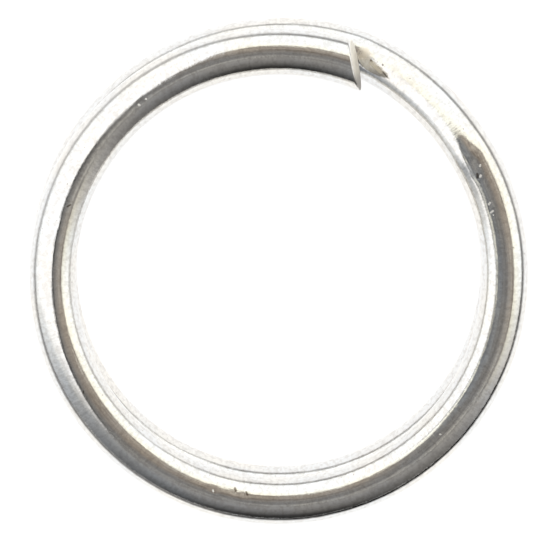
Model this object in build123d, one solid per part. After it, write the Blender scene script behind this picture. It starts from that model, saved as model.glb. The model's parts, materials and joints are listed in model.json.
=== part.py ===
from build123d import *

import os
from math import cos, degrees, pi, radians, sin

# Split key ring: one length of round, plated spring wire, wound into two turns that lie flat on
# each other and spring shut. The ring lies on its lower turn, with its axis along +Z and the
# origin at the middle of its footprint. Lengths are in millimetres, angles in degrees, turning
# from +X towards +Y as seen from above. Going that way round, the wire runs from the upper cut
# end along the upper turn, down the crossover bend and along the lower turn to the lower cut end.
# The wire is divided into short lengths so that it can flex: each length is a body of its own,
# and the fine slot between two lengths is where the wire bends and twists.

outer_diameter = 25.0
wire_diameter = 2.35
turn_gap = 0.06  # air between the two turns
turn_offset = 0.29  # how far the lower turn's centre lies from the upper turn's, towards +Y
crossover_middle = 50.5
crossover_half_angle = 19.5
crossover_swell = 0.18  # how far the wire swells outwards round the crossover
slope_power = 6  # even, how sharply the crossover levels out at its ends: more is sharper
end_half_angle = 19.5  # from the crossover's middle to each cut end
end_face_rake = 30.0  # how far each cut is turned from square across the wire
end_face_tilt = 7.0  # how far each cut face looks up or down, away from the other turn
end_edge_radius = 0.12
end_spare_angle = 5.0  # wire left beyond each cut until it is trimmed
lengths_per_turn = 8
flex_slot = 0.08
path_points = 7

wire_radius = wire_diameter / 2
ring_radius = (outer_diameter - wire_diameter) / 2
lower_height = wire_radius
upper_height = lower_height + wire_diameter + turn_gap
turn_angle = 360 - crossover_half_angle - end_half_angle
length_angle = turn_angle / lengths_per_turn
half_slot_angle = degrees(flex_slot / 2 / ring_radius)
upper_end_angle = crossover_middle + end_half_angle
lower_end_angle = crossover_middle - end_half_angle + 360


def lowered(angle):
    """How far the wire has gone from the upper turn (0) to the lower turn (1).

    The slope of the crossover is nearly even through its middle and fades at both ends.
    """
    place = (angle - crossover_middle) / crossover_half_angle
    place = max(-1, min(place, 1))
    steepness = (slope_power + 1) / slope_power
    return (1 + steepness * (place - place ** (slope_power + 1) / (slope_power + 1))) / 2


def swell(angle):
    """How far the wire stands outside its true circle. It fades out one length beyond the crossover."""
    place = (angle - crossover_middle) / (crossover_half_angle + length_angle)
    return crossover_swell * cos(pi / 2 * place) ** 2


def wire_point(angle, share, radius=ring_radius):
    """The wire's centre at an angle, share 0 on the upper turn and 1 on the lower turn."""
    return Vector(
        radius * cos(radians(angle)),
        radius * sin(radians(angle)) + (share - 0.5) * turn_offset,
        upper_height + share * (lower_height - upper_height),
    )


def forward(angle):
    """The level direction in which a true circle of wire runs on."""
    return Vector(-sin(radians(angle)), cos(radians(angle)), 0)


def wire_section(middle, direction):
    """The wire's round section. Its seam lies underneath, clear of the raked cuts."""
    return Plane(middle, x_dir=(0, 0, -1), z_dir=direction) * Circle(wire_radius)


def ring_length(first_angle, last_angle, share):
    """A piece of the upper or the lower turn, as an arc of a true torus."""
    middle = wire_point(0, share) - Vector(ring_radius, 0, 0)
    section = wire_section(wire_point(first_angle, share), forward(first_angle))
    return revolve(section, Axis(middle, (0, 0, 1)), last_angle - first_angle)


def swelling_length(first_angle, last_angle):
    """A piece of the crossover, or of the swelling wire next to it, swept along its own curve."""
    step = (last_angle - first_angle) / (path_points - 1)
    angles = [first_angle + step * number for number in range(path_points)]
    points = [wire_point(angle, lowered(angle), ring_radius + swell(angle)) for angle in angles]
    headings = [heading(first_angle), heading(last_angle)]
    path = Spline(*points, tangents=headings)
    return sweep(wire_section(points[0], headings[0]), path=path)


def heading(angle):
    """The level direction in which the swelling wire runs on."""
    small = 0.01
    growth = (swell(angle + small) - swell(angle - small)) / radians(2 * small)
    outward = Vector(cos(radians(angle)), sin(radians(angle)), 0)
    return (forward(angle) * (ring_radius + swell(angle)) + outward * growth).normalized()


def cut_end(length, angle, share, outward):
    """Cut one end of a length with a raked, slightly tilted face, and round the face's edge."""
    turned = end_face_rake * (-1 if share else 1)
    tilt = end_face_tilt * (-1 if share else 1)
    level = (forward(angle) * outward).rotate(Axis.Z, turned)
    facing = level * cos(radians(tilt)) + Vector(0, 0, sin(radians(tilt)))
    cut = Plane(wire_point(angle, share), z_dir=facing)
    trimmed = split(length, bisect_by=cut, keep=Keep.BOTTOM)
    face = trimmed.faces().filter_by(GeomType.PLANE).sort_by(Axis(cut.origin, facing))[-1]
    return fillet(face.edges(), end_edge_radius)


def turn_lengths(side, share, end_angle, direction):
    """The lengths of one turn, numbered from its free end towards the crossover."""
    lengths = {}
    for number in range(1, lengths_per_turn + 1):
        near = (number - 1) * length_angle + half_slot_angle
        if number == 1:
            near = -end_spare_angle
        far = number * length_angle - half_slot_angle
        first, last = sorted(end_angle + direction * along for along in (near, far))
        name = f"{side}_turn_{number}"
        if number == lengths_per_turn:
            full_turn = 360 if side == "upper" else 0
            length = swelling_length(first - full_turn, last - full_turn)
        else:
            length = ring_length(first, last, share)
        if number == 1:
            length = cut_end(length, end_angle, share, -direction)
            name = f"{side}_free_end"
        lengths[name] = length
    return lengths


crossover_start = crossover_middle - crossover_half_angle + half_slot_angle
crossover_finish = crossover_middle + crossover_half_angle - half_slot_angle

parts = turn_lengths("upper", 0, upper_end_angle, 1)
parts["crossover_bend"] = swelling_length(crossover_start, crossover_finish)
parts.update(turn_lengths("lower", 1, lower_end_angle, -1))

os.makedirs("parts", exist_ok=True)
for name, solid in parts.items():
    export_step(solid, f"parts/{name}.step")
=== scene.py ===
"""Split key ring: the plated wire, swept once along its whole length, on a pale table under soft light."""

import json
import math
import random

import bpy
import numpy as np
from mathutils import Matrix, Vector


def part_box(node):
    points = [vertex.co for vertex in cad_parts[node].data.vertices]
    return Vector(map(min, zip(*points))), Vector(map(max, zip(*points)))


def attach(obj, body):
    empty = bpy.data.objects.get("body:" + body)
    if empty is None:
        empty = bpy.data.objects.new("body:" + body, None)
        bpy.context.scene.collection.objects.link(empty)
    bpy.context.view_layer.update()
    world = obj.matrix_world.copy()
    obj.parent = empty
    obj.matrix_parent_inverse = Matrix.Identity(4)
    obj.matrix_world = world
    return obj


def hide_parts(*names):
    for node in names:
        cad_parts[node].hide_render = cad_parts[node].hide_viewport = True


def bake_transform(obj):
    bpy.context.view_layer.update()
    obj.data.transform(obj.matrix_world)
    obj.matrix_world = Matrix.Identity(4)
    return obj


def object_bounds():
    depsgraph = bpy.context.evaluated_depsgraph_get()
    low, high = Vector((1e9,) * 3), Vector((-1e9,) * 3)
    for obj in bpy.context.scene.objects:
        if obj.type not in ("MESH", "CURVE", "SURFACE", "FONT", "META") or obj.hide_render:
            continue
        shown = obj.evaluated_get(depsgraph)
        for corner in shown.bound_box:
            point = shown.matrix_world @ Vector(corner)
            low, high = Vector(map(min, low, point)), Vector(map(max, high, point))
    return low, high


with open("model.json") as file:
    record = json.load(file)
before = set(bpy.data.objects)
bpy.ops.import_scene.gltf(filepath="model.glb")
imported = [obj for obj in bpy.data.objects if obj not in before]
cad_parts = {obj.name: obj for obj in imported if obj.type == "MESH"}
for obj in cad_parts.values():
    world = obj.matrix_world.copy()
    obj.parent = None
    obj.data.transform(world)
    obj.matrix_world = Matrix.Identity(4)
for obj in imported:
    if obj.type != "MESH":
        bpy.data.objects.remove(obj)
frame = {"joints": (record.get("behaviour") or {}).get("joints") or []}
cad_low, cad_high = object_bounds()
scene = bpy.context.scene
random.seed(11)

# ---------------------------------------------------------------- sizes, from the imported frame
# Metres and degrees. A place along the wire is its unwound angle. It grows from the upper cut end
# along the upper turn, through the crossover and along the lower turn to the lower cut end.
joint_place = {joint["name"]: Vector(joint["pos_m"]) for joint in frame["joints"]}
upper_low, upper_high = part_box("upper_turn_4")
lower_low, lower_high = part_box("lower_turn_4")
WIRE_RADIUS = (lower_high.z - lower_low.z) / 2
UPPER_HEIGHT = (upper_low.z + upper_high.z) / 2
LOWER_HEIGHT = (lower_low.z + lower_high.z) / 2
RING_RADIUS = -cad_low.x - WIRE_RADIUS
HALF_OFFSET = cad_low.x - cad_low.y  # each turn's centre lies this far from the origin, along Y


def joint_angle(name, centre_y):
    """Angle of a joint, seen from the centre of its own turn."""
    place = joint_place[name]
    return math.degrees(math.atan2(place.y - centre_y, place.x))


LENGTHS = 8  # of wire in each turn
first_joint = joint_angle("upper_flex_1", -HALF_OFFSET)
LENGTH_ANGLE = joint_angle("upper_flex_2", -HALF_OFFSET) - first_joint
UPPER_END = first_joint - LENGTH_ANGLE
last_upper, last_lower = joint_angle("upper_flex_8", -HALF_OFFSET), joint_angle("lower_flex_8", HALF_OFFSET)
BEND_MIDDLE = 360 + last_upper / 2 + last_lower / 2
BEND_HALF = BEND_MIDDLE - (UPPER_END + LENGTHS * LENGTH_ANGLE)

SLOPE_POWER = 6  # even, how sharply the crossover levels out at its ends
SWELL = 0.00018  # how far the wire swells outwards round the crossover
CUT_RAKE, CUT_TILT = 30, 7  # how far the cut face is turned from square, and looks up
CUT_EDGE = 0.00012  # radius of the rounding round the cut face


# ---------------------------------------------------------------- the wire's path
def bend_place(angle, half_angle):
    """-1 to 1 over the given angle on both sides of the crossover's middle."""
    return min(max((angle - BEND_MIDDLE) / half_angle, -1), 1)


def lowered(angle):
    """0 on the upper turn, 1 on the lower turn, and an even fall between them in the crossover."""
    place = bend_place(angle, BEND_HALF)
    steepness = (SLOPE_POWER + 1) / SLOPE_POWER
    return (1 + steepness * (place - place ** (SLOPE_POWER + 1) / (SLOPE_POWER + 1))) / 2


def swollen(angle):
    """The wire's distance from the turn's centre. The swelling fades out one length beyond the crossover."""
    place = bend_place(angle, BEND_HALF + LENGTH_ANGLE)
    return RING_RADIUS + SWELL * math.cos(math.pi / 2 * place) ** 2


def middle(angle):
    """The wire's centre."""
    share = lowered(angle)
    turn, radius = math.radians(angle), swollen(angle)
    return Vector((
        radius * math.cos(turn),
        radius * math.sin(turn) + (2 * share - 1) * HALF_OFFSET,
        UPPER_HEIGHT + share * (LOWER_HEIGHT - UPPER_HEIGHT),
    ))


def across(angle):
    """Unit vectors across the wire: away from the ring's axis, and upwards."""
    small = 0.01
    along = (middle(angle + small) - middle(angle - small)).normalized()
    turn = math.radians(angle)
    outward = Vector((math.cos(turn), math.sin(turn), 0))
    outward = (outward - outward.dot(along) * along).normalized()
    return outward, outward.cross(along)


def travel(angle):
    """Length of wire from the middle of the crossover."""
    return math.radians(angle - BEND_MIDDLE) * RING_RADIUS


def turned_over(angle):
    """The place that comes to lie where this one was when the ring is turned over at the crossover."""
    return 2 * BEND_MIDDLE - angle


# ---------------------------------------------------------------- the wire's surface
# Handling dents: unwound angle, place round the wire (0 outside, 90 on top, 180 inside), length along
# the wire, width and depth. A depth below zero stands proud.
DENTS = [
    (389.5, 96, 0.00055, 0.00022, 0.000030),
    (387.6, 104, 0.00030, 0.00030, 0.000022),
    (386.2, 88, 0.00022, 0.00030, -0.000010),
    (253.0, 101, 0.00030, 0.00018, 0.000022),
    (258.5, 109, 0.00035, 0.00020, 0.000020),
    (261.0, 104, 0.00028, 0.00014, 0.000014),
    (255.5, 97, 0.00022, 0.00014, -0.000008),
    (127.0, 94, 0.00045, 0.00018, 0.000016),
    (130.5, 102, 0.00030, 0.00016, 0.000012),
    (378.5, 98, 0.00030, 0.00020, 0.000014),
    (200.0, 100, 0.00035, 0.00016, 0.000010),
    (166.0, 84, 0.00045, 0.00014, 0.000010),
    (302.0, 82, 0.00050, 0.00016, 0.000012),
    (338.0, 100, 0.00040, 0.00016, 0.000012),
]
DENT_STEEPNESS = 1.6
DENT_REACH = 2.2  # lengths of a dent from its middle, where it has faded away
WAVE_COUNT, WAVE_HEIGHT = 26, 0.0000009
WAVE_PITCHES = 250, 1500  # radians for each metre of wire
WAVE_TURNS = (0, 1, 1, 2, 2, 3, 4)  # waves round the wire


def waves():
    """A few long, shallow waves that drawing and barrel plating leave in the surface."""
    made = []
    for _ in range(WAVE_COUNT):
        made.append((
            random.uniform(*WAVE_PITCHES),
            random.choice(WAVE_TURNS),
            random.uniform(0, math.tau),
            random.uniform(0, math.tau),
            random.uniform(0.3, 1.0) * WAVE_HEIGHT,
        ))
    return made


WAVES = waves()


def rise(angle, around):
    """How far the surface stands off the true round wire."""
    distance = travel(angle)
    total = 0.0
    for pitch, turns, first, second, height in WAVES:
        total += height * math.sin(pitch * distance + first) * math.cos(turns * around + second)
    for place, side, length, width, depth in DENTS:
        along = math.radians(angle - place) * RING_RADIUS / length
        if abs(along) < DENT_REACH:
            beside = (around - math.radians(side)) * WIRE_RADIUS / width
            total -= depth * math.exp(-DENT_STEEPNESS * (along * along + beside * beside))
    return total


def surface(angle, around, radius=WIRE_RADIUS, rough=True):
    """A point at a distance from the wire's centre. Only its outer skin is rough."""
    outward, upward = across(angle)
    if rough:
        radius += rise(angle, around)
    return middle(angle) + radius * (math.cos(around) * outward + math.sin(around) * upward)


# ---------------------------------------------------------------- rows of points round the wire
# A row is a list of points, each with its place on the wire: angle round the wire, length along it,
# and depth. The depth is 1 on the outer skin. It falls to 0.5 over the rounding of a cut end and to 0
# at the middle of the cut face. In a hidden end it is the share of the wire's radius.
AROUND = 80
ROUND = [math.tau * number / AROUND for number in range(AROUND)]
MIN_STEP, MAX_STEP, STEP_GROWTH = 0.02, 0.5, 1.7  # from row to row, growing away from a seam
CAP_SHARES = (0.97, 0.5)  # radii of the rows in a hidden end, and in the cut face
FACE_SHARES = (0.02, 0.2, 0.4, 0.6, 0.75, 0.87, 0.95)
EDGE_STEP = 15  # degrees of rounding from row to row
BITE_DEPTH, TEAR_DEPTH = 0.00003, 0.000012  # of the marks that the shears left in the cut face


def stations(first, last):
    """Angles of the rows of a piece, crowded together where it meets its neighbours."""
    half = []
    at, step = first, MIN_STEP
    while at < (first + last) / 2:
        half.append(at)
        at += step
        step = min(step * STEP_GROWTH, MAX_STEP)
    return half + [first + last - angle for angle in reversed(half)]


def wall_row(angle):
    return [(surface(angle, turn), (turn, travel(angle), 1.0)) for turn in ROUND]


def cap_rows(angle, way=1):
    """A flat inner end, hidden inside the wire where two pieces meet. It goes round the wire either way."""
    rows = []
    for share in CAP_SHARES:
        radius = WIRE_RADIUS * share
        turns = [way * turn for turn in ROUND]
        rows.append([(surface(angle, turn, radius, False), (turn, travel(angle), share)) for turn in turns])
    return rows


def cut_angle(around, radius, back):
    """Unwound angle at which the upper turn meets the cut face, or a plane set back from it."""
    faces, tilt = UPPER_END - 90 + CUT_RAKE, math.radians(CUT_TILT)
    reach = RING_RADIUS + radius * math.cos(around)
    level = RING_RADIUS * math.cos(math.radians(UPPER_END - faces))
    level -= (back + math.sin(tilt) * radius * math.sin(around)) / math.cos(tilt)
    return faces + math.degrees(math.acos(level / reach))


def bite(turn, share):
    """The smooth hollow that the first bite of the shears leaves, towards the top of the cut face."""
    return max(0.0, math.sin(turn + 0.5)) * BITE_DEPTH * share


def tear(turn, share):
    """The coarser rest of the cut face, which tore."""
    return abs(TEAR_DEPTH * math.sin(3.1 * turn + 9 * share) * math.sin(17 * share + 2.3 * turn))


def cut_row(radius, backs, depth):
    """A row of places set back from the plane of the cut, each by its own distance."""
    return [(cut_angle(turn, radius, back), turn, radius, depth) for turn, back in zip(ROUND, backs)]


def end_rows(last):
    """Places in the upper free end, from its cut face to its seam: unwound angle, turn, radius, depth."""
    rows = []
    for share in FACE_SHARES:
        radius = (WIRE_RADIUS - CUT_EDGE) * share
        backs = [bite(turn, share) + tear(turn, share) for turn in ROUND]
        rows.append(cut_row(radius, backs, share / 2))
    for bend in range(0, 91, EDGE_STEP):
        bent = math.radians(bend)
        radius = WIRE_RADIUS - CUT_EDGE * (1 - math.sin(bent))
        backs = [CUT_EDGE * (1 - math.cos(bent)) + bite(turn, math.cos(bent)) for turn in ROUND]
        rows.append(cut_row(radius, backs, 0.5 + bend / 180))
    starts = [cut_angle(turn, WIRE_RADIUS, CUT_EDGE) for turn in ROUND]
    for angle in stations(UPPER_END, last)[1:]:
        share = (angle - UPPER_END) / (last - UPPER_END)
        angles = [start + share * (last - start) for start in starts]
        rows.append([(at, turn, WIRE_RADIUS, 1.0) for at, turn in zip(angles, ROUND)])
    return rows


def solved(places):
    """A row of points from a row of places."""
    row = []
    for angle, turn, radius, depth in places:
        row.append((surface(angle, turn, radius, depth >= 1.0), (turn, travel(angle), depth)))
    return row


# ---------------------------------------------------------------- meshes
def tube_faces(row_count, points, coordinates):
    """The faces of a tube. Both ends are closed with a fan, whose middle is added to the points."""
    faces = []
    for here in range(0, (row_count - 1) * AROUND, AROUND):
        there = here + AROUND
        for side in range(AROUND):
            other = (side + 1) % AROUND
            faces.append((here + side, there + side, there + other, here + other))
    for first in (0, (row_count - 1) * AROUND):
        ring = list(range(first, first + AROUND))
        tip = len(points)
        points.append(sum((points[corner] for corner in ring), Vector()) / AROUND)
        coordinates.append((0.0, 0.0, coordinates[first][2]))
        if first:
            ring.reverse()
        faces += [(ring[side - 1], ring[side], tip) for side in range(AROUND)]
    return faces


def closed_tube(name, rows):
    """A closed mesh through rows of points. It keeps the wire's own coordinates in wire_place.

    wire_place is the place across the wire, where the skin is a circle of radius 1, and the length
    along the wire in millimetres.
    """
    points, coordinates = [], []
    for row in rows:
        for point, (turn, length, depth) in row:
            points.append(point)
            coordinates.append((depth * math.cos(turn), depth * math.sin(turn), length * 1000))
    faces = tube_faces(len(rows), points, coordinates)
    mesh = bpy.data.meshes.new(name)
    mesh.from_pydata(points, [], faces)
    mesh.validate()
    wire = mesh.attributes.new("wire_place", "FLOAT_VECTOR", "POINT")
    wire.data.foreach_set("vector", np.array(coordinates, np.float32).ravel())
    mesh.polygons.foreach_set("use_smooth", [True] * len(mesh.polygons))
    piece = bpy.data.objects.new(name, mesh)
    scene.collection.objects.link(piece)
    return piece


def sharpen(piece, row_numbers):
    """Marks whole rows of edges sharp, so that the wall's shading takes nothing from the ends."""
    sharp = []
    for edge in piece.data.edges:
        first, second = edge.vertices[0] // AROUND, edge.vertices[1] // AROUND
        sharp.append(first == second and first in row_numbers)
    attribute = piece.data.attributes.new("sharp_edge", "BOOLEAN", "EDGE")
    attribute.data.foreach_set("value", sharp)


# ---------------------------------------------------------------- node trees
class Graph:
    """Short names for the nodes that the materials and the light are made of."""

    def __init__(self, owner):
        owner.use_nodes = True
        self.nodes, self.links = owner.node_tree.nodes, owner.node_tree.links
        self.nodes.clear()

    def add(self, kind, **settings):
        node = self.nodes.new(kind)
        for name, value in settings.items():
            setattr(node, name, value)
        return node

    def feed(self, socket, value):
        if isinstance(value, (int, float, tuple)):
            socket.default_value = value
        else:
            self.links.new(value, socket)

    def math(self, operation, first, second=0.0):
        node = self.add("ShaderNodeMath", operation=operation)
        self.feed(node.inputs[0], first)
        self.feed(node.inputs[1], second)
        return node.outputs[0]

    def total(self, *numbers):
        result = numbers[0]
        for number in numbers[1:]:
            result = self.math("ADD", result, number)
        return result

    def times(self, first, second):
        return self.math("MULTIPLY", first, second)

    def vector_math(self, operation, *values):
        node = self.add("ShaderNodeVectorMath", operation=operation)
        for socket, value in zip(node.inputs, values):
            self.feed(socket, value)
        return node.outputs

    def stretched(self, vector, scale):
        return self.vector_math("MULTIPLY", vector, scale)[0]

    def length(self, vector):
        return self.vector_math("LENGTH", vector)["Value"]

    def parts(self, vector):
        """The x, y and z of a vector."""
        node = self.add("ShaderNodeSeparateXYZ")
        self.feed(node.inputs[0], vector)
        return node.outputs

    def clamped(self, value):
        node = self.add("ShaderNodeClamp")
        self.feed(node.inputs["Value"], value)
        return node.outputs[0]

    def noise(self, vector, detail, roughness):
        node = self.add("ShaderNodeTexNoise")
        self.feed(node.inputs["Vector"], vector)
        self.feed(node.inputs["Scale"], 1.0)
        self.feed(node.inputs["Detail"], detail)
        self.feed(node.inputs["Roughness"], roughness)
        return node.outputs["Fac"]

    def ramp(self, value, low, high, out_low=0.0, out_high=1.0):
        node = self.add("ShaderNodeMapRange", interpolation_type="SMOOTHSTEP")
        self.feed(node.inputs["Value"], value)
        limits = {"From Min": low, "From Max": high, "To Min": out_low, "To Max": out_high}
        for socket, number in limits.items():
            self.feed(node.inputs[socket], number)
        return node.outputs["Result"]

    def blend(self, factor, first, second):
        """A number: the first where the factor is 0, the second where it is 1."""
        node = self.add("ShaderNodeMix", data_type="FLOAT")
        for number, value in ((0, factor), (2, first), (3, second)):
            self.feed(node.inputs[number], value)
        return node.outputs[0]

    def tint(self, factor, first, second):
        """A colour: the first where the factor is 0, the second where it is 1."""
        node = self.add("ShaderNodeMix", data_type="RGBA")
        self.feed(node.inputs["Factor"], factor)
        colours = [socket for socket in node.inputs if socket.type == "RGBA"]
        for socket, value in zip(colours, (first, second)):
            self.feed(socket, value + (1.0,) if isinstance(value, tuple) else value)
        return [socket for socket in node.outputs if socket.type == "RGBA"][0]


# ---------------------------------------------------------------- the plating
# Single marks, each from one place to another: unwound angle and degrees round the wire (0 outside, 90
# on top, 180 inside), then the half width in millimetres.
BRIGHT_NICKS = [
    ((379.9, 99), (379.6, 103), 0.050),
    ((377.7, 98), (377.4, 104), 0.045),
    ((376.6, 100), (376.6, 100), 0.035),
    ((387.2, 95), (387.0, 97), 0.055),
    ((389.6, 84), (389.4, 86), 0.045),
    ((128.6, 97), (128.5, 99), 0.050),
    ((126.3, 96), (126.2, 97), 0.040),
    ((253.0, 96), (252.8, 99), 0.040),
    ((316.0, 92), (315.9, 94), 0.035),
]
# Tan patches beside the upper cut end: a painted reflection of the cut end in the crossover, not wear.
END_REFLECTION_PATCHES = [
    ((428.6, 84), (426.6, 80), 0.30),
    ((424.0, 96), (421.0, 104), 0.10),
]
# Dark scratches and nicks, and beside the upper cut end a painted brown reflection of the cut end in the
# crossover.
DARK_NICKS_AND_END_REFLECTION = [
    ((387.9, 101), (387.1, 104), 0.060),
    ((258.6, 112), (258.3, 117), 0.060),
    ((261.8, 107), (261.4, 113), 0.045),
    # The next three marks are a painted reflection of the upper cut end, not nicks.
    ((424.6, 90), (424.2, 92), 0.050),
    ((422.2, 96), (418.6, 108), 0.030),
    ((421.4, 86), (421.3, 87), 0.040),
    ((367.7, 67), (365.7, 30), 0.018),
    ((210.5, 88), (210.0, 92), 0.035),
    ((161.0, 98), (160.3, 104), 0.035),
]
# Noises over wire_place: scale across the wire twice and along it, detail, roughness. Drawing lines run
# along the wire and rubs across it. The others lie on it evenly.
NOISES = {
    "lines": ((26, 26, 0.35), 3.0, 0.6),
    "blotches": ((1.6, 1.6, 1.1), 4.0, 0.6),
    "mottle": ((4.6, 4.6, 4.2), 4.0, 0.62),
    "rubs": ((1.1, 1.1, 5.5), 3.0, 0.6),
    "warmth": ((0.9, 0.9, 0.35), 1.0, 0.5),
    "pitted": ((1.1, 1.1, 0.9), 1.0, 0.5),
    "tears": ((3, 14, 0.5), 3.0, 0.6),
}
PIT_SCALE = (3.4, 3.4, 2.9)
COOL_NICKEL, WARM_NICKEL = (0.800, 0.808, 0.818), (0.832, 0.815, 0.785)
MOTTLED, RUBBED, PITTED = (0.62, 0.60, 0.58), (0.60, 0.58, 0.56), (0.42, 0.38, 0.34)
# The dark nick colour also paints the brown reflection of the upper cut end. The tan colour after the bright
# nick is a painted reflection of the cut end, not wear.
DARK_NICK_AND_REFLECTION, BRIGHT_NICK, REFLECTED_END_TAN = (0.26, 0.23, 0.20), (0.93, 0.92, 0.90), (0.86, 0.80, 0.70)
# The last of these colours is painted shade on the inner part of the cut face, not dull steel.
BRIGHT_STEEL, TORN_STEEL, PAINTED_SHADE_STEEL = (0.95, 0.92, 0.85), (0.74, 0.70, 0.63), (0.40, 0.38, 0.36)
BARE_METALLIC, BARE_ROUGHNESS = 0.35, 0.5
RELIEF_STRENGTH, RELIEF_DEPTH = 0.35, 0.000014


def mark_place(angle, side):
    """A place on the skin in millimetres: across the wire twice, and along it."""
    turn, radius = math.radians(side), WIRE_RADIUS * 1000
    return Vector((radius * math.cos(turn), radius * math.sin(turn), travel(angle) * 1000))


def marked(graph, millimetres, marks):
    """1 on any of the marks and 0 away from them."""
    total = 0.0
    for first, second, half_width in marks:
        start = mark_place(*first)
        along = mark_place(*second) - start
        share = graph.vector_math("DOT_PRODUCT", millimetres, tuple(along))["Value"]
        share = graph.math("SUBTRACT", share, start.dot(along))
        share = graph.clamped(graph.times(share, 1 / max(along.length_squared, 1e-6)))
        nearest = graph.vector_math("MULTIPLY_ADD", share, tuple(along), tuple(start))[0]
        distance = graph.vector_math("DISTANCE", millimetres, nearest)["Value"]
        near = graph.ramp(distance, half_width * 1.5, half_width * 0.6)
        total = graph.math("MAXIMUM", total, near)
    return total


def pits(graph, place, pitted):
    """1 in small pits, which lie in some areas only."""
    grains = graph.add("ShaderNodeTexVoronoi")
    grains.inputs["Scale"].default_value = 1.0
    graph.feed(grains.inputs["Vector"], graph.stretched(place, PIT_SCALE))
    grain = graph.ramp(grains.outputs["Distance"], 0.05, 0.12, 1.0, 0.0)
    return graph.times(grain, graph.ramp(pitted, 0.55, 0.62))


def plating_layers(graph, place):
    """The noises, and how far each place is pitted, nicked, painted with a reflection of the cut end, or part
    of the bare cut face.
    """
    layers = {}
    for name, (scale, detail, roughness) in NOISES.items():
        layers[name] = graph.noise(graph.stretched(place, scale), detail, roughness)
    layers["pits"] = pits(graph, place, layers["pitted"])
    radius = WIRE_RADIUS * 1000
    millimetres = graph.stretched(place, (radius, radius, 1.0))
    layers["bright"] = marked(graph, millimetres, BRIGHT_NICKS)
    # dark nicks, and the painted brown reflection of the upper cut end
    layers["dark"] = marked(graph, millimetres, DARK_NICKS_AND_END_REFLECTION)
    # the painted tan reflection of the upper cut end, broken up by the mottle
    patchy = graph.ramp(layers["mottle"], 0.3, 0.55, 0.35, 0.9)
    layers["worn"] = graph.times(marked(graph, millimetres, END_REFLECTION_PATCHES), patchy)
    # wire_place lies inside the unit circle on the cut face
    layers["face"] = graph.ramp(graph.length(graph.stretched(place, (1, 1, 0))), 0.80, 0.55)
    return layers


def plating_colour(graph, place, layers):
    colour = graph.tint(graph.ramp(layers["warmth"], 0.35, 0.65), COOL_NICKEL, WARM_NICKEL)
    colour = graph.tint(graph.ramp(layers["mottle"], 0.42, 0.64, 0.0, 0.55), colour, MOTTLED)
    colour = graph.tint(graph.ramp(layers["rubs"], 0.48, 0.72, 0.0, 0.20), colour, RUBBED)
    colour = graph.tint(layers["pits"], colour, PITTED)
    # dark nicks, and the painted brown reflection of the upper cut end
    colour = graph.tint(layers["dark"], colour, DARK_NICK_AND_REFLECTION)
    colour = graph.tint(layers["bright"], colour, BRIGHT_NICK)
    # painted tan reflection of the upper cut end
    colour = graph.tint(layers["worn"], colour, REFLECTED_END_TAN)
    # the cut face is bare sheared steel, with painted shade on its part towards the inside of the ring
    bare = graph.tint(graph.ramp(layers["tears"], 0.35, 0.7), BRIGHT_STEEL, TORN_STEEL)
    bare = graph.tint(graph.ramp(graph.parts(place)[0], -0.10, -0.42), bare, PAINTED_SHADE_STEEL)
    return graph.tint(layers["face"], colour, bare)


def plating_roughness(graph, layers):
    skin = graph.total(
        graph.ramp(layers["blotches"], 0.30, 0.72, 0.045, 0.11),
        graph.ramp(layers["lines"], 0.45, 0.75, 0.0, 0.04),
        graph.times(layers["pits"], 0.30),
        graph.times(layers["bright"], 0.65),
        # rougher where the tan reflection of the cut end is painted
        graph.times(layers["worn"], 0.33),
    )
    return graph.blend(layers["face"], skin, BARE_ROUGHNESS)


def plating_normal(graph, layers):
    relief = graph.total(
        graph.times(layers["lines"], 0.5),
        graph.times(layers["mottle"], 0.9),
        graph.times(layers["rubs"], 0.9),
        graph.times(layers["pits"], -0.5),
    )
    bump = graph.add("ShaderNodeBump")
    bump.inputs["Strength"].default_value = RELIEF_STRENGTH
    bump.inputs["Distance"].default_value = RELIEF_DEPTH
    graph.feed(bump.inputs["Height"], relief)
    return bump.outputs[0]


def plated_wire():
    """Bright nickel plating with drawing lines and handling marks, painted reflections of the upper cut end,
    and bare steel on the cut faces with painted shade towards the inside of the ring.
    """
    material = bpy.data.materials.new("plated_wire")
    graph = Graph(material)
    output = graph.add("ShaderNodeOutputMaterial")
    shader = graph.add("ShaderNodeBsdfPrincipled")
    graph.feed(output.inputs["Surface"], shader.outputs[0])
    place = graph.add("ShaderNodeAttribute", attribute_name="wire_place").outputs["Vector"]
    layers = plating_layers(graph, place)
    graph.feed(shader.inputs["Base Color"], plating_colour(graph, place, layers))
    graph.feed(shader.inputs["Metallic"], graph.blend(layers["face"], 1.0, BARE_METALLIC))
    graph.feed(shader.inputs["Roughness"], plating_roughness(graph, layers))
    graph.feed(shader.inputs["Normal"], plating_normal(graph, layers))
    return material


plating = plated_wire()


def dress(piece):
    piece.data.materials.append(plating)
    return piece


def seam(number):
    """Unwound angle of a seam of the upper turn, counted from the free end."""
    if number == LENGTHS:
        return BEND_MIDDLE
    return UPPER_END + (number + 0.5) * LENGTH_ANGLE


def mirrored(row):
    """A row of the upper end, turned over to be a row of the lower end."""
    return [(turned_over(angle), -turn, radius, depth) for angle, turn, radius, depth in row]


def free_end(side):
    """The piece from a cut face to the first seam. The lower one is the upper one turned over."""
    rows = end_rows(seam(0))
    last, way = seam(0), 1
    if side == "lower":
        rows = [mirrored(row) for row in rows]
        last, way = turned_over(last), -1
    rows = [solved(row) for row in rows]
    wall_ends = len(rows) - 1
    piece = closed_tube(f"wire_{side}_end", rows + cap_rows(last, way))
    sharpen(piece, {wall_ends})
    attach(dress(piece), f"{side}_free_end")
    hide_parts(f"{side}_free_end")


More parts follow.
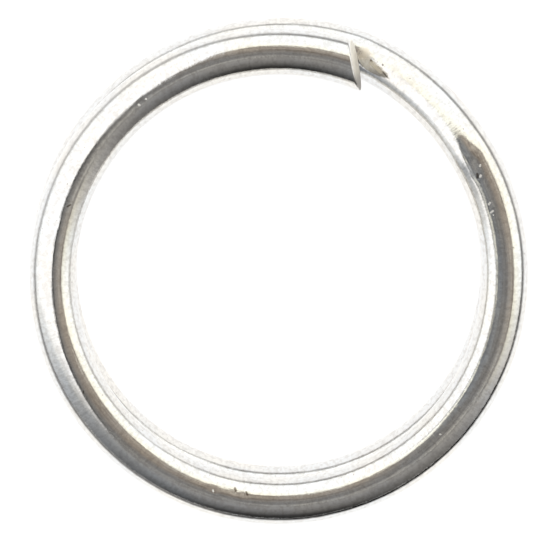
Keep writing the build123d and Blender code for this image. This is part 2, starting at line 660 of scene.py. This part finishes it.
def bending_length(side, number):
    """One length of wire about one joint."""
    first, last = seam(number - 1), seam(number)
    near = f"{side}_free_end" if number == 1 else f"{side}_turn_{number}"
    far = "crossover_bend" if number == LENGTHS else f"{side}_turn_{number + 1}"
    if side == "lower":
        first, last = turned_over(last), turned_over(first)
        near, far = far, near
    wall = [wall_row(angle) for angle in stations(first, last)]
    near_cap, far_cap = cap_rows(first), cap_rows(last)
    piece = closed_tube(f"wire_{side}_{number}", near_cap[::-1] + wall + far_cap)
    sharpen(piece, {len(near_cap), len(near_cap) + len(wall) - 1})
    dress(piece)
    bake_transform(piece)
    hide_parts("crossover_bend" if number == LENGTHS else f"{side}_turn_{number + 1}")


for turn_side in ("upper", "lower"):
    free_end(turn_side)
    for joint_number in range(1, LENGTHS + 1):
        bending_length(turn_side, joint_number)


# ---------------------------------------------------------------- table and light
TABLE_SIZE = 3.0
TABLE_PAINT = {
    "Base Color": (0.50, 0.50, 0.50, 1),
    "Emission Color": (1, 1, 1, 1),
    "Emission Strength": 0.85,
    "Roughness": 0.9,
    "Specular IOR Level": 0.1,
}
TENT_STRENGTH = 1.36
PALE = (1.0, 0.99, 0.97, 1)


def table():
    """A wide table top that glows by itself, so that it is plain and nearly white everywhere."""
    bpy.ops.mesh.primitive_plane_add(size=TABLE_SIZE, location=(0, 0, 0))
    floor = bpy.context.object
    floor.name = "table"
    paint = bpy.data.materials.new("table")
    paint.use_nodes = True
    for socket, value in TABLE_PAINT.items():
        paint.node_tree.nodes["Principled BSDF"].inputs[socket].default_value = value
    floor.data.materials.append(paint)


def glow_paint(name, strength, place, faded, full):
    """A glowing paint that fades in as a coordinate of the item itself goes from faded to full.

    Both the strength and the place are functions that add their nodes to the graph.
    """
    paint = bpy.data.materials.new(name)
    graph = Graph(paint)
    glow = graph.add("ShaderNodeEmission")
    glow.inputs["Color"].default_value = PALE
    graph.feed(glow.inputs["Strength"], strength(graph))
    clear = graph.add("ShaderNodeBsdfTransparent")
    mixed = graph.add("ShaderNodeMixShader")
    graph.feed(mixed.inputs[0], graph.ramp(place(graph), faded, full))
    graph.feed(mixed.inputs[1], clear.outputs[0])
    graph.feed(mixed.inputs[2], glow.outputs[0])
    output = graph.add("ShaderNodeOutputMaterial")
    graph.feed(output.inputs["Surface"], mixed.outputs[0])
    return paint


def own_place(graph):
    """Coordinates from the item's origin, which is on the Z axis."""
    return graph.add("ShaderNodeTexCoord").outputs["Object"]


def reflected_item(name, outline, hole, height, paint):
    """A level sheet, with or without a hole in it, that shows only in the reflections in the plating."""
    mesh = bpy.data.meshes.new(name)
    count = len(outline)
    if hole:
        faces = [(k, (k + 1) % count, count + (k + 1) % count, count + k) for k in range(count)]
    else:
        faces = [tuple(range(count))]
    mesh.from_pydata([(x, y, 0) for x, y in outline + hole], [], faces)
    mesh.materials.append(paint)
    item = bpy.data.objects.new(name, mesh)
    item.location.z = height
    item.visible_camera = False
    item.visible_diffuse = False
    item.visible_shadow = False
    scene.collection.objects.link(item)


def circle(radius, count=96):
    turns = [math.tau * number / count for number in range(count)]
    return [(radius * math.cos(turn), radius * math.sin(turn)) for turn in turns]


# The white card: its outline and height, how far from the front it fades in, and the dark hem along its
# slanted edge, which fades into the card's own brightness towards the back.
CARD_HEIGHT = 0.0275
CARD_LEFT, CARD_FRONT, CARD_BACK = -0.0915, -0.022, 0.060
CARD_FRONT_RIGHT, CARD_BACK_RIGHT = -0.0113, -0.0043
CARD_LEAN = (CARD_BACK_RIGHT - CARD_FRONT_RIGHT) / (CARD_BACK - CARD_FRONT)
CARD_FADED, CARD_FULL = -0.020, -0.006
HEM_STARTS, HEM_FULL = -0.0128, -0.0122  # along X, once the lean of the edge is taken off
HEM_DARK, HEM_GONE, HEM_LEVEL = 0.003, 0.012, 0.07
# The shaded part of the table: radii where it starts, where it is full and where it ends.
SHADE_STARTS, SHADE_FULL, SHADE_ENDS = 0.020, 0.034, 0.30
SHADE_HEIGHT = 0.00002


def reflector():
    """A white card close above the left of the ring. Its slanted edge has a dark hem at the near end."""
    def brightness(graph):
        x, y, _ = graph.parts(own_place(graph))
        hem = graph.ramp(y, HEM_DARK, HEM_GONE, HEM_LEVEL, TENT_STRENGTH)
        straight = graph.math("SUBTRACT", x, graph.times(y, CARD_LEAN))
        return graph.ramp(straight, HEM_STARTS, HEM_FULL, TENT_STRENGTH, hem)

    def from_front(graph):
        return graph.parts(own_place(graph))[1]

    outline = [
        (CARD_LEFT, CARD_FRONT),
        (CARD_FRONT_RIGHT, CARD_FRONT),
        (CARD_BACK_RIGHT, CARD_BACK),
        (CARD_LEFT, CARD_BACK),
    ]
    paint = glow_paint("reflector_card", brightness, from_front, CARD_FADED, CARD_FULL)
    reflected_item("reflector_card", outline, [], CARD_HEIGHT, paint)


def shaded_table():
    """The shaded part of the table round the ring, darkest towards the open front."""
    def brightness(graph):
        x, y, _ = graph.parts(own_place(graph))
        backwards = graph.ramp(y, -0.030, 0.020, 0.01, 0.40)
        return graph.total(backwards, graph.ramp(x, 0.010, -0.030, 0.0, 0.25))

    def outwards(graph):
        return graph.length(own_place(graph))

    paint = glow_paint("shaded_band", brightness, outwards, SHADE_STARTS, SHADE_FULL)
    reflected_item("shaded_band", circle(SHADE_ENDS), circle(SHADE_STARTS), SHADE_HEIGHT, paint)


# ---------------------------------------------------------------- the tent
# x, y and z are those of the unit vector towards a part of the tent: z is 1 straight overhead.
TENT_HEM_LEVEL, TENT_HEM_TOP = 0.65, 0.09
CAMERA_BLOTCHES = (11, 11, 11)
FRONT_LEVELS = [(0.30, 0.285), (0.63, 0.20), (0.875, 0.105), (0.957, 0.042), (1.0, 0.015)]  # -y, brightness
CAMERA_BACK, CAMERA_FRONT, CAMERA_LEFT, CAMERA_RIGHT = 0.53, 0.42, 0.64, 0.72  # how far its shape reaches
CREAM_WHITE, COOL_WHITE = (1.0, 0.975, 0.84), (0.985, 0.995, 0.98)
COOL_DARK, NEUTRAL_DARK, WARM_DARK = (0.95, 0.99, 1.04), (1.02, 0.99, 0.96), (1.19, 1.02, 0.86)


def front_level(graph, x, y):
    """The open front: a wedge that widens from overhead to the horizon and darkens on the way down."""
    forward = graph.times(y, -1.0)
    sideways = graph.math("SQRT", graph.total(graph.times(x, x), graph.times(y, y)))
    wedge = graph.ramp(graph.math("DIVIDE", forward, graph.total(sideways, 0.10)), -0.05, 0.72)
    depth = graph.add("ShaderNodeValToRGB")
    graph.feed(depth.inputs[0], forward)
    stops = depth.color_ramp.elements
    for number, (place, level) in enumerate(FRONT_LEVELS):
        stop = stops[number] if number < 2 else stops.new(place)
        stop.position = place
        stop.color = (level, level, level, 1)
    return graph.blend(wedge, 1.0, depth.outputs[0])


def camera_distance(graph, x, y):
    """Distance from overhead, 1 on the camera's outline: an ellipse on the left, a rounded box on the right.

    The ellipse is drawn in a little towards the back.
    """
    back = graph.math("DIVIDE", graph.math("MAXIMUM", y, 0.0), CAMERA_BACK)
    front = graph.math("DIVIDE", graph.math("MAXIMUM", graph.times(y, -1.0), 0.0), CAMERA_FRONT)
    reach = graph.ramp(x, -0.12, 0.12, CAMERA_LEFT, CAMERA_RIGHT)
    side = graph.math("DIVIDE", graph.math("ABSOLUTE", x), reach)
    power = graph.ramp(x, -0.12, 0.12, graph.ramp(y, 0.0, 0.3, 2.0, 1.5), 4.0)
    powers = [graph.math("POWER", part, power) for part in (back, front, side)]
    return graph.math("POWER", graph.total(*powers), graph.math("DIVIDE", 1.0, power))


def camera_level(graph, direction, x, distance):
    """The camera's uneven darkness, paler towards its rim and dark again on it."""
    blotches = graph.noise(graph.stretched(direction, CAMERA_BLOTCHES), 3.0, 0.6)
    shade = graph.ramp(blotches, 0.34, 0.66, 0.62, 1.38)
    paler = graph.ramp(distance, 0.3, 0.85, 0.182, graph.ramp(x, -0.35, 0.05, 0.20, 0.32))
    return graph.times(graph.times(shade, paler), graph.ramp(distance, 0.84, 0.92, 1.0, 0.55))


def tent_tone(graph, x, y, distance, level):
    """White that is cream beside the camera, and darks that run from cool on the left to warm at the back."""
    white = graph.tint(graph.ramp(distance, 1.0, 1.5), CREAM_WHITE, COOL_WHITE)
    warm = graph.ramp(graph.total(x, graph.times(y, 1.6)), -0.2, 0.5)
    cool = graph.tint(graph.ramp(x, -0.40, -0.05), COOL_DARK, NEUTRAL_DARK)
    return graph.tint(graph.ramp(level, 0.05, 0.75), graph.tint(warm, cool, WARM_DARK), white)


def studio():
    """A white tent, plain white to the camera. The camera overhead and the open front are dark."""
    world = bpy.data.worlds.new("studio")
    scene.world = world
    graph = Graph(world)
    output = graph.add("ShaderNodeOutputWorld")
    background = graph.add("ShaderNodeBackground")
    graph.feed(output.inputs["Surface"], background.outputs[0])
    direction = graph.add("ShaderNodeTexCoord").outputs["Generated"]
    x, y, z = graph.parts(direction)
    distance = camera_distance(graph, x, y)
    overhead = graph.times(graph.ramp(distance, 1.05, 0.93), graph.ramp(z, 0.05, 0.3))
    level = graph.blend(overhead, front_level(graph, x, y), camera_level(graph, direction, x, distance))
    level = graph.times(level, graph.ramp(z, 0.0, TENT_HEM_TOP, TENT_HEM_LEVEL, 1.0))
    lit = graph.add("ShaderNodeVectorMath", operation="SCALE")
    graph.feed(lit.inputs[0], tent_tone(graph, x, y, distance, level))
    graph.feed(lit.inputs["Scale"], level)
    seen = graph.add("ShaderNodeLightPath").outputs["Is Camera Ray"]
    graph.feed(background.inputs["Color"], graph.tint(seen, lit.outputs[0], (1.0, 1.0, 1.0)))
    background.inputs["Strength"].default_value = TENT_STRENGTH


table()
reflector()
shaded_table()
studio()
scene.view_settings.view_transform = "Standard"
scene.view_settings.look = "None"
scene.view_settings.exposure = 0.0

# ---------------------------------------------------------------- camera
SENSOR_WIDTH = 36  # millimetres
VIEW_WIDTH = 0.027555  # across the frame, at the height of the upper turn
AIM_ASIDE, AIM_ABOVE = -0.000182865, 0.00007515  # from the upper turn's centre
TILT = math.radians(6)
DISTANCE = 0.45

towards = Vector((0, math.sin(TILT), math.cos(TILT)))
right = Vector((1, 0, 0))
above = towards.cross(right)
aim = Vector((0, -HALF_OFFSET, UPPER_HEIGHT)) + AIM_ASIDE * right + AIM_ABOVE * above
camera_data = bpy.data.cameras.new("camera")
camera_data.sensor_width = SENSOR_WIDTH
camera_data.lens = SENSOR_WIDTH * DISTANCE / VIEW_WIDTH
camera_data.clip_start = 0.01
camera_data.clip_end = 10
camera = bpy.data.objects.new("camera", camera_data)
scene.collection.objects.link(camera)
camera.location = aim + DISTANCE * towards
camera.rotation_euler = (-TILT, 0, 0)
scene.camera = camera
